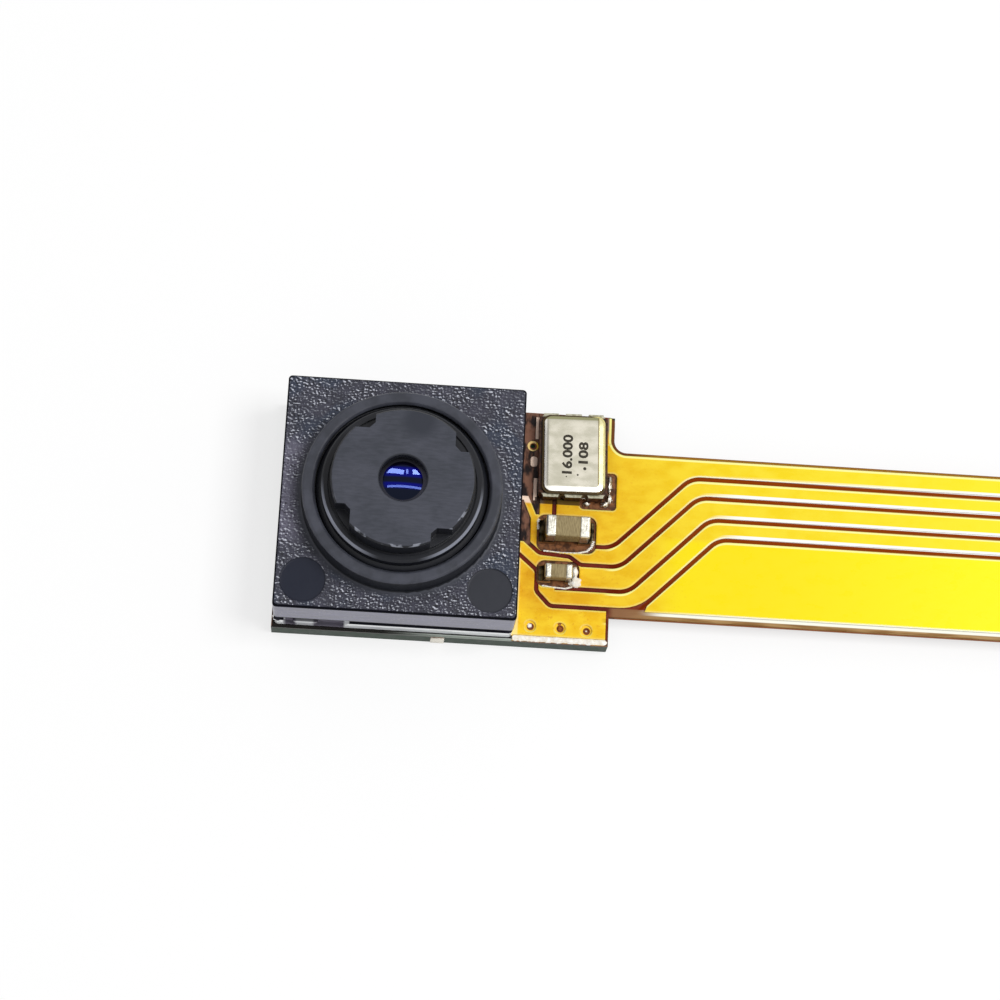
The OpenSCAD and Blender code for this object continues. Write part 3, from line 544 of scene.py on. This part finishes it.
def lid_metal():
    """Satin silver plate with a weld track round it, painted by how light falls on each side: near white at
    the front, pale at the left, cream at the right, darker olive at the back, with painted shade lines
    inside the left and right slopes.
    """
    finish, across, along = crystal_finish("lid_metal", Metallic=1.0)
    half = CRYSTAL_HALF[0] - LID_INSET, CRYSTAL_HALF[1] - LID_INSET
    cloud = finish.grain(0.4, 4, (0.6, 1, 1)).rise(0.3, 0.7)
    flat = finish.mix(cloud, linear(190, 186, 168), linear(208, 203, 188))
    right = across.rise(half[0] - 0.19, half[0] - 0.15)
    front = 1 - along.rise(0.15 - half[1], 0.21 - half[1])
    back = along.rise(half[1] - 0.14, half[1] - 0.1)
    left = 1 - across.rise(0.08 - half[0], 0.12 - half[0])
    left_painted_shade_line = across.between(0.1 - half[0], 0.13 - half[0], 0.02)
    right_painted_shade_line = across.between(half[0] - 0.2, half[0] - 0.17, 0.015)
    # Painted light and shade on the slopes of the weld track, side by side.
    colour = finish.mix(left, flat, linear(222, 218, 208))
    colour = finish.mix(left_painted_shade_line * 0.5, colour, linear(150, 144, 132))
    colour = finish.mix(back, colour, linear(150, 148, 112))
    colour = finish.mix(right, colour, linear(226, 219, 168))
    colour = finish.mix(right_painted_shade_line * 0.8, colour, linear(132, 116, 70))
    finish.wear("Base Color", finish.mix(front, colour, linear(255, 253, 244)))
    finish.wear("Roughness", 0.24 + 0.06 * cloud)
    finish.wear("Normal", finish.relief(cloud, 0.001, finish.soften(0.04)))
    return finish


def seal_metal():
    """Pale gold plate, in the lid's shadow along its front and left."""
    finish, across, along = crystal_finish("seal_metal", Metallic=1.0, Roughness=0.3)
    lit = across.rise(0.6, 0.9) * along.rise(-1.3, -1.1)
    finish.wear("Base Color", finish.mix(lit, linear(70, 58, 40), linear(198, 188, 130)))
    finish.wear("Normal", finish.relief(finish.grain(0.15, 2), 0.003, finish.soften(0.03)))
    return finish


def package_ceramic():
    """Dark fired ceramic with a pale glazed ledge at its two ends."""
    finish, across, along = crystal_finish("package_ceramic", IOR=1.3)
    mottle = finish.grain(0.12, 3).rise(0.35, 0.65)
    dark = finish.mix(mottle, linear(34, 16, 12), linear(84, 52, 34))
    ledge = finish.z.rise(CRYSTAL_HIGH[2] - 0.03, CRYSTAL_HIGH[2] - 0.01) * abs(along).rise(1.45, 1.5)
    pads = abs(across).between(0.3, 0.54, 0.03) * (1 - along).rise(2.0, 2.4)
    dark = finish.mix(pads * mottle * 0.8, dark, linear(150, 138, 112))
    pale = finish.mix(mottle, linear(160, 156, 130), linear(206, 202, 180))
    finish.wear("Base Color", finish.mix(ledge, dark, pale))
    finish.wear("Roughness", 0.4 + 0.1 * mottle)
    finish.wear("Normal", finish.relief(mottle, 0.004, finish.soften(0.03)))
    return finish


def via_copper():
    """Film-covered ring with a brown burr round its hole. The ring beside the holder stays golden."""
    finish = Finish("via_copper", IOR=1.35, Roughness=0.3)
    clear_of = finish.x.rise(0, 1)
    for x, y in VIAS:
        clear_of = clear_of.at_most(finish.reach((x + 0.015, y - 0.015)).rise(0.115, 0.15))
    yellow = finish.x.rise(4.8, 4.85).at_least(1 - finish.y.rise(0, 1))
    golden = finish.mix(yellow, linear(255, 222, 140), linear(252, 206, 44))
    finish.wear("Base Color", finish.mix(clear_of, linear(118, 50, 4), golden))
    return finish


def metal(name, colour, stain, roughness=0.25, depth=0.004, spot_size=0.15, edge=0.03):
    """Plated or soldered metal with a faintly uneven surface."""
    finish = Finish(name, Metallic=1.0)
    cloud = finish.grain(spot_size * 3, 3)
    fine = finish.grain(spot_size, 2, shift=6)
    finish.wear("Base Color", finish.mix(cloud.rise(0.35, 0.75), colour, stain))
    finish.wear("Roughness", roughness + 0.2 * fine)
    finish.wear("Normal", finish.relief(fine, depth, finish.soften(edge)))
    return finish


def dull(name, dark, light, roughness=0.6, spot_size=0.2, depth=0.004, edge=0.03, stretch=(1, 1, 1)):
    """Ceramic, foil or glue with a mottled colour."""
    finish = Finish(name, IOR=1.38)
    mottle = finish.grain(spot_size, 3, stretch)
    finish.wear("Base Color", finish.mix(mottle.rise(0.3, 0.7), dark, light))
    finish.wear("Roughness", roughness + 0.1 * mottle)
    finish.wear("Normal", finish.relief(mottle, depth, finish.soften(edge)))
    return finish


def pale_adhesive():
    """Set adhesive: a pale band with its top painted a dull dark grey as the shade under the holder, and
    dark stretches near the left end.
    """
    finish = Finish("pale_adhesive", IOR=1.2, Roughness=0.12, Coat_IOR=1.65, Coat_Roughness=0.1)
    mottle = finish.grain(0.4, 3, (0.4, 0.4, 1)).rise(0.3, 0.7)
    pale = finish.mix(mottle, linear(222, 226, 230), linear(248, 250, 252))
    dab = (1 - finish.x.rise(-3.95, -3.8)).at_least(finish.x.between(-3.4, -2.9, 0.12) * 0.6)
    dab = dab.at_least(finish.x.rise(-1.8, -1.7))
    finish.wear("Base Color", finish.mix(dab, linear(104, 100, 112), pale))
    finish.wear("Coat Weight", dab)
    finish.wear("Normal", finish.relief(mottle, 0.006, finish.soften(0.05)))
    # Painted shade: the top of the band is a dull dark grey, as the shade under the holder.
    finish.swallow(finish.z.rise(ADHESIVE_TOP - 0.05, ADHESIVE_TOP - 0.02), linear(40, 40, 48))
    return finish


def clear(name, tint, ior, roughness=0.02):
    """Glass or clear lens plastic with a faint tint."""
    finish = Finish(name, Base_Color=tint, IOR=ior, Transmission_Weight=1.0)
    finish.wear("Roughness", roughness + 0.02 * finish.grain(0.4, 2))
    return finish


FINISHES = {
    "holder": holder_plastic(),
    "barrel": barrel_plastic(),
    "front_glass": coated_glass(),
    "cover": cover_film(),
    "base": base_film(),
    "board": board_laminate(),
    "gold": metal("gold_plating", linear(240, 200, 120), linear(214, 160, 84), 0.3),
    "via": via_copper(),
    "pale_solder": dull("pale_solder", linear(240, 230, 212), linear(255, 253, 248), 0.25, 0.12, 0.01, 0.02),
    "solder": metal("solder", linear(222, 217, 204), linear(176, 170, 160), 0.18, 0.012, 0.1, 0.06),
    "tin": metal("tin_plating", linear(222, 219, 208), linear(168, 164, 150), 0.22, 0.01, 0.06, 0.05),
    # Painted shade: the pads' plating is dark brown, as the shade in the parts' windows.
    "pads": metal("pad_plating", linear(92, 58, 34), linear(136, 96, 56), 0.4),
    # Painted reflection: the capacitors' solder is near black, as the dark holder wall it mirrors.
    "cap_solder": metal("cap_solder", linear(20, 18, 12), linear(110, 98, 72), 0.25, 0.01, 0.08, 0.05),
    "lid": lid_metal(),
    "seal": seal_metal(),
    "ceramic": package_ceramic(),
    "capacitor": dull("capacitor_ceramic", linear(128, 112, 74), linear(166, 148, 106), 0.5, 0.12,
                      stretch=(3, 0.5, 1)),
    "glue": pale_adhesive(),
    "foil": dull("black_foil", linear(14, 14, 16), linear(24, 24, 26), 0.7),
    "end_film": dull("end_film", linear(120, 62, 16), linear(146, 82, 26), 0.35, 0.5, 0.002),
    "silicon": dull("silicon", linear(46, 44, 56), linear(66, 60, 78), 0.2, 0.5, 0.0),
    "lens": clear("lens_plastic", linear(226, 236, 240), 1.53),
    "filter": clear("filter_glass", linear(170, 214, 216), 1.52),
    "quartz": clear("quartz", linear(240, 242, 244), 1.54),
    "burr": dull("burnt_copper", linear(96, 36, 4), linear(168, 96, 20), 0.4, 0.08, 0.01),
    "ink": dull("marking_ink", linear(30, 28, 20), linear(62, 54, 40), 0.6, 0.06, 0.0),
}

NODE_FINISH = {
    "rigid_board": "board", "flex_base_film": "base", "copper_conductors": "gold",
    "component_pads": "pads", "coverlay": "cover", "via_rings": "via", "tail_stiffener": "end_film",
    "edge_solder": "solder", "lens_holder": "holder", "holder_adhesive": "glue",
    "lens_barrel": "barrel", "front_lens": "front_glass", "aperture_stop": "foil",
    "middle_lens": "lens", "spacer_ring": "foil", "rear_lens": "lens", "retaining_ring": "foil",
    "infrared_filter": "filter", "sensor_chip": "silicon", "sensor_cover_glass": "filter",
    "sensor_solder_balls": "solder", "crystal_base": "ceramic", "crystal_seal_ring": "seal",
    "crystal_lid": "lid", "quartz_blank": "quartz", "crystal_solder": "solder",
    "large_capacitor_body": "capacitor", "large_capacitor_ends": "tin",
    "small_capacitor_body": "capacitor", "small_capacitor_ends": "tin", "capacitor_solder": "cap_solder",
}

for node_name, finish_name in NODE_FINISH.items():
    for slot in frame["nodes"][node_name].material_slots:
        slot.material = FINISHES[finish_name].material


# ---------------------------------------------------------------- pieces

def piece(name, mesh, finish, body):
    """Links a finished mesh as a piece that rides on a body."""
    made = bpy.data.objects.new(name, mesh)
    bpy.context.scene.collection.objects.link(made)
    made.data.materials.clear()
    made.data.materials.append(FINISHES[finish].material)
    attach(made, body)
    return made


def solid(name, shape, smooth=True):
    """Turns a bmesh in millimetres into a mesh in metres."""
    bmesh.ops.recalc_face_normals(shape, faces=shape.faces)
    bmesh.ops.scale(shape, vec=(MM, MM, MM), verts=shape.verts)
    mesh = bpy.data.meshes.new(name)
    shape.to_mesh(mesh)
    shape.free()
    for polygon in mesh.polygons:
        polygon.use_smooth = smooth
    return mesh


def lump(shape, at, size, seed=0, uneven=0.12):
    """Adds an uneven rounded lump that stands on the point at."""
    made = bmesh.ops.create_icosphere(shape, subdivisions=3, radius=1.0)["verts"]
    for vert in made:
        push = 1 + uneven * noise.noise(vert.co * 1.7 + Vector((seed, 0, 0)))
        vert.co = Vector(at) + Vector([c * s * push / 2 for c, s in zip(vert.co, size)])
    whole = made + [e for v in made for e in v.link_edges] + [f for v in made for f in v.link_faces]
    result = bmesh.ops.bisect_plane(shape, geom=list(dict.fromkeys(whole)), plane_co=at,
                                    plane_no=(0, 0, -1), clear_outer=True)
    edges = [e for e in result["geom_cut"] if isinstance(e, bmesh.types.BMEdge)]
    bmesh.ops.holes_fill(shape, edges=edges)


def marking(name, text, corner, height, length):
    """Plain numbers on the lid that read along the tail's width."""
    curve = bpy.data.curves.new(name, "FONT")
    curve.body = text
    curve.size = 1.0
    curve.resolution_u = 3
    curve.extrude = 0.004
    curve.offset = 0.035
    holder = bpy.data.objects.new(name, curve)
    bpy.context.scene.collection.objects.link(holder)
    bpy.context.view_layer.update()
    mesh = bpy.data.meshes.new_from_object(holder.evaluated_get(bpy.context.evaluated_depsgraph_get()))
    bpy.data.objects.remove(holder)
    xs = [v.co.x for v in mesh.vertices]
    ys = [v.co.y for v in mesh.vertices]
    grow = (length / (max(xs) - min(xs)), height / (max(ys) - min(ys)), 0.3)
    mesh.transform(Matrix.Translation((-min(xs), -min(ys), 0)))
    mesh.transform(Matrix.Diagonal((*grow, 1)))
    mesh.transform(Matrix.Rotation(math.radians(90), 4, "Z"))
    mesh.transform(Matrix.Translation((corner[0] + height, corner[1], LID_TOP)))
    mesh.transform(Matrix.Scale(MM, 4))
    piece(name, mesh, "ink", "housing")


marking("crystal_marking_upper", "16.000", (5.74, 1.82), 0.38, 1.5)
marking("crystal_marking_lower", "108", (6.33, 2.24), 0.36, 0.83)


def marking_dots():
    """The round dots printed beside the numbers."""
    shape = bmesh.new()
    for x, y, radius in ((6.58, 2.05, 0.06), (6.33, 1.8, 0.035), (5.92, 1.71, 0.025)):
        made = bmesh.ops.create_cone(
            shape, cap_ends=True, segments=24, radius1=radius, radius2=radius, depth=0.0024)
        bmesh.ops.translate(shape, vec=(x, y, LID_TOP), verts=made["verts"])
    dots = solid("crystal_marking_dots", shape, smooth=False)
    piece("crystal_marking_dots", dots, "ink", "housing")


marking_dots()


def crystal_solder_lumps():
    """Solder that shows in the pocket beside the crystal and under its front edge."""
    shape = bmesh.new()
    base = COPPER_HIGH[2]
    right = CRYSTAL_HIGH[0]
    front = CRYSTAL_LOW[1]
    lump(shape, (right + 0.1, front + 0.75, base), (0.22, 0.62, 0.3), 1, 0.4)
    lump(shape, (right + 0.12, front + 0.2, base), (0.2, 0.34, 0.26), 2, 0.4)
    lump(shape, (right - 0.06, front - 0.02, base), (0.34, 0.22, 0.3), 3, 0.4)
    lump(shape, (right - 0.72, front - 0.03, base), (0.26, 0.16, 0.2), 4, 0.4)
    piece("crystal_solder_lumps", solid("crystal_solder_lumps", shape), "solder", "housing")


def small_capacitor_lump():
    """The generous solder on the small capacitor's right end."""
    shape = bmesh.new()
    low, high = spot("small_capacitor_ends")
    middle = (low[1] + high[1]) / 2
    lump(shape, (high[0] + 0.15, middle - 0.26, COPPER_HIGH[2]), (0.46, 0.42, 0.34), 5, 0.3)
    lump(shape, (high[0] + 0.1, middle + 0.1, COPPER_HIGH[2]), (0.28, 0.46, 0.44), 6, 0.3)
    piece("small_capacitor_lump", solid("small_capacitor_lump", shape), "pale_solder", "housing")


def rim_highlight_beads():
    """Thin pale beads along the rims of the capacitors' windows, standing in for the rims' highlight."""
    shape = bmesh.new()
    for path, size in (
        ([(5.3, -0.93), (5.9, -0.97), (6.5, -0.95), (6.82, -0.86), (6.98, -0.7), (7.07, -0.42)], 0.06),
        ([(5.02, -0.1), (4.98, 0.1), (5.04, 0.3)], 0.07),
        ([(5.3, -2.24), (5.6, -2.28), (6.1, -2.3), (6.35, -2.22)], 0.06),
    ):
        for start, end in zip(path, path[1:]):
            steps = max(1, round(math.dist(start, end) / 0.07))
            for k in range(steps):
                x, y = (a + (b - a) * k / steps for a, b in zip(start, end))
                lump(shape, (x, y, COVER_TOP - 0.02), (0.12, size, 0.04 + 0.015 * (k % 2)), k, 0.4)
    piece("rim_highlight_beads", solid("rim_highlight_beads", shape), "pale_solder", "housing")


def tab_edge_solder():
    """Thin solder along the bare copper at the tab's front edge."""
    shape = bmesh.new()
    front = FILM_LOW[1]
    left = HOLDER_HIGH[0] + 0.03
    for k in range(24):
        lump(shape, (left + 0.14 + k * 0.133, front + 0.13, COPPER_HIGH[2] - 0.005),
             (0.34, 0.24, 0.05 + 0.02 * (k % 3)), k, 0.3)
    piece("tab_edge_solder", solid("tab_edge_solder", shape), "pale_solder", "housing")


def via_fills():
    """What stands in the tab's three vias: a drop of solder, a rough plug and a small plug."""
    left, middle, right = VIAS[:3]
    base = FILM_HIGH[2] - 0.02
    bright, dark = bmesh.new(), bmesh.new()
    for shape, via, offset, size, seed, uneven in (
        (bright, left, (-0.03, 0.03, 0.02), (0.19, 0.19, 0.11), 21, 0.3),
        (bright, right, (0, 0, 0), (0.08, 0.08, 0.1), 22, 0.2),
        (dark, middle, (0, 0, 0), (0.24, 0.24, 0.13), 23, 0.5),
        (dark, middle, (-0.02, 0.16, 0.02), (0.15, 0.15, 0.12), 24, 0.5),
        (dark, right, (0, 0, 0), (0.18, 0.18, 0.06), 25, 0.3),
        (dark, left, (0.02, -0.02, 0), (0.19, 0.19, 0.05), 26, 0.3),
    ):
        lump(shape, (via[0] + offset[0], via[1] + offset[1], base + offset[2]), size, seed, uneven)
    piece("via_solder", solid("via_solder", bright), "pale_solder", "housing")
    piece("via_plugs", solid("via_plugs", dark), "burr", "housing")


def corner_glue():
    """A dab of glue at the foot's front left corner."""
    shape = bmesh.new()
    low, high = spot("holder_adhesive")
    lump(shape, (low[0] + 0.12, low[1] + 0.12, low[2] + 0.42), (0.34, 0.3, 0.7), 8, 0.3)
    piece("corner_glue", solid("corner_glue", shape), "glue", "housing")


def bore_thread():
    """Fine ridges of the holder's thread, as a spun profile that climbs one pitch a turn."""
    shape = bmesh.new()
    ridge, half, steps = 0.02, 0.06, 64
    low, high = BARREL_LOW[2] + 0.2, HOLDER_HIGH[2] - 0.2
    profile = [(BORE_R, -half), (BORE_R - ridge, 0.0), (BORE_R, half)]
    ring = [shape.verts.new((r, 0, low + z)) for r, z in profile]
    edges = [shape.edges.new((ring[i], ring[(i + 1) % 3])) for i in range(3)]
    turns = (high - low) / THREAD_PITCH
    bmesh.ops.spin(shape, geom=ring + edges, cent=(0, 0, 0), axis=(0, 0, 1), angle=2 * math.pi * turns,
                   steps=int(steps * turns), dvec=(0, 0, THREAD_PITCH / steps))
    bmesh.ops.holes_fill(shape, edges=[e for e in shape.edges if e.is_boundary])
    piece("bore_thread", solid("bore_thread", shape), "holder", "housing")


def revolve(profile, steps):
    """A closed round shape, from a profile that starts and ends on the axis."""
    shape = bmesh.new()
    rings = []
    for r, z in profile:
        angles = [2 * math.pi * k / steps for k in range(steps)] if r else [0.0]
        ring = [shape.verts.new((r * math.cos(a), r * math.sin(a), z)) for a in angles]
        rings.append(ring * (steps // len(ring)))
    for inner, outer in zip(rings, rings[1:]):
        for k in range(steps):
            corners = (inner[k - 1], inner[k], outer[k], outer[k - 1])
            shape.faces.new(list(dict.fromkeys(corners)))
    return shape


def front_glass():
    """The front lens with a smoothly curved face, in place of the solid's flats."""
    low, high = spot("front_lens")
    bottom, top, rim = low[2], high[2], high[0]
    rim_high, bevel = 0.5, 0.01
    face_r, cap, sagitta, steps = 0.75, 0.79, 0.11, 16
    ball = (cap * cap + sagitta * sagitta) / (2 * sagitta)
    profile = [(0, bottom), (rim - bevel, bottom), (rim, bottom + bevel), (rim, bottom + rim_high - bevel),
               (rim - bevel, bottom + rim_high), (face_r + 0.02, bottom + rim_high)]
    for k in range(steps + 1):
        r = face_r * (1 - k / steps)
        profile.append((r, top - ball + math.sqrt(ball ** 2 - r ** 2)))
    made = piece("front_glass", solid("front_glass", revolve(profile, 96)), "front_glass", "lens_stack")
    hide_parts("front_lens")
    return made


front_face = front_glass()
crystal_solder_lumps()
small_capacitor_lump()
rim_highlight_beads()
tab_edge_solder()
via_fills()
corner_glue()
bore_thread()


# ---------------------------------------------------------------- floor, light and camera

def light_rays(nodes):
    """1 for rays that see the floor or the sky directly, in a reflection or through glass."""
    path = nodes.add("ShaderNodeLightPath", {}, {}).outputs
    seen = Value(nodes, path["Is Camera Ray"]).at_least(Value(nodes, path["Is Glossy Ray"]))
    return seen.at_least(Value(nodes, path["Is Transmission Ray"]))


def pale_floor():
    """A wide, pale floor just under the module. Part of it glows where it is seen, to stay white."""
    finish = Finish("pale_floor", Base_Color=(1.0, 1.0, 1.0, 1), Roughness=0.9)
    glow = finish.add("ShaderNodeEmission", {}, {"Color": (1, 1, 1, 1), "Strength": 1.0})
    glow_share = 0.7
    finish.blend(light_rays(finish) * glow_share, glow.outputs["Emission"])
    shape = bmesh.new()
    bmesh.ops.create_grid(shape, x_segments=1, y_segments=1, size=600)
    bmesh.ops.translate(shape, vec=(0, 0, -0.001), verts=shape.verts)
    floor = bpy.data.objects.new("floor", solid("floor", shape, smooth=False))
    floor.data.materials.append(finish.material)
    bpy.context.scene.collection.objects.link(floor)


def sky():
    """Even white all round, dimmer in the light that it throws than in how it looks."""
    world = bpy.data.worlds.new("studio")
    bpy.context.scene.world = world
    world.use_nodes = True
    nodes = Nodes(world.node_tree)
    background = nodes.tree.nodes["Background"]
    thrown = 0.52
    nodes.feed(background.inputs["Color"], (1, 1, 1, 1))
    nodes.feed(background.inputs["Strength"], thrown + (1 - thrown) * light_rays(nodes))


def lamp(name, angles, distance, size, watts, lens="INCLUDE"):
    """A rectangular lamp that faces the module from the given angles, in degrees.

    The key lamp leaves the front lens out, and the streak lamps light nothing else.
    """
    data = bpy.data.lights.new(name, "AREA")
    data.shape = "RECTANGLE"
    data.size, data.size_y = size
    data.energy = watts
    made = bpy.data.objects.new(name, data)
    aim = Euler([math.radians(a) for a in angles]).to_matrix().to_4x4()
    made.matrix_world = aim @ Matrix.Translation((0, 0, distance))
    bpy.context.scene.collection.objects.link(made)
    reach = bpy.data.collections.new(name + "_reach")
    reach.objects.link(front_face)
    reach.collection_objects[0].light_linking.link_state = lens
    made.light_linking.receiver_collection = reach


def camera():
    """The camera, looking steeply down on the head of the module."""
    data = bpy.data.cameras.new("camera")
    data.lens = 89.03
    data.sensor_width = 36
    data.clip_start = 0.002
    data.clip_end = 5
    made = bpy.data.objects.new("camera", data)
    made.location = Vector((-0.612, -26.17, 86.409)) * MM
    made.rotation_euler = [math.radians(a) for a in (17.387, -3.624, 2.578)]
    bpy.context.scene.collection.objects.link(made)
    bpy.context.scene.camera = made


pale_floor()
sky()
lamp("key", (28, 0, 90), 0.42, (0.16, 0.16), 1.02, "EXCLUDE")
lamp("streak_long", (-30.5, -20, 0), 0.3, (0.2, 0.037), 1.3)
lamp("streak_dot", (-30.5, 6, 0), 0.3, (0.014, 0.037), 0.06)
lamp("streak_short", (-30.5, 19.5, 0), 0.3, (0.05, 0.037), 0.42)
lamp("streak_low", (-8.5, 4, 0), 0.3, (0.27, 0.017), 0.42)
camera()
bpy.context.scene.view_settings.view_transform = "Standard"
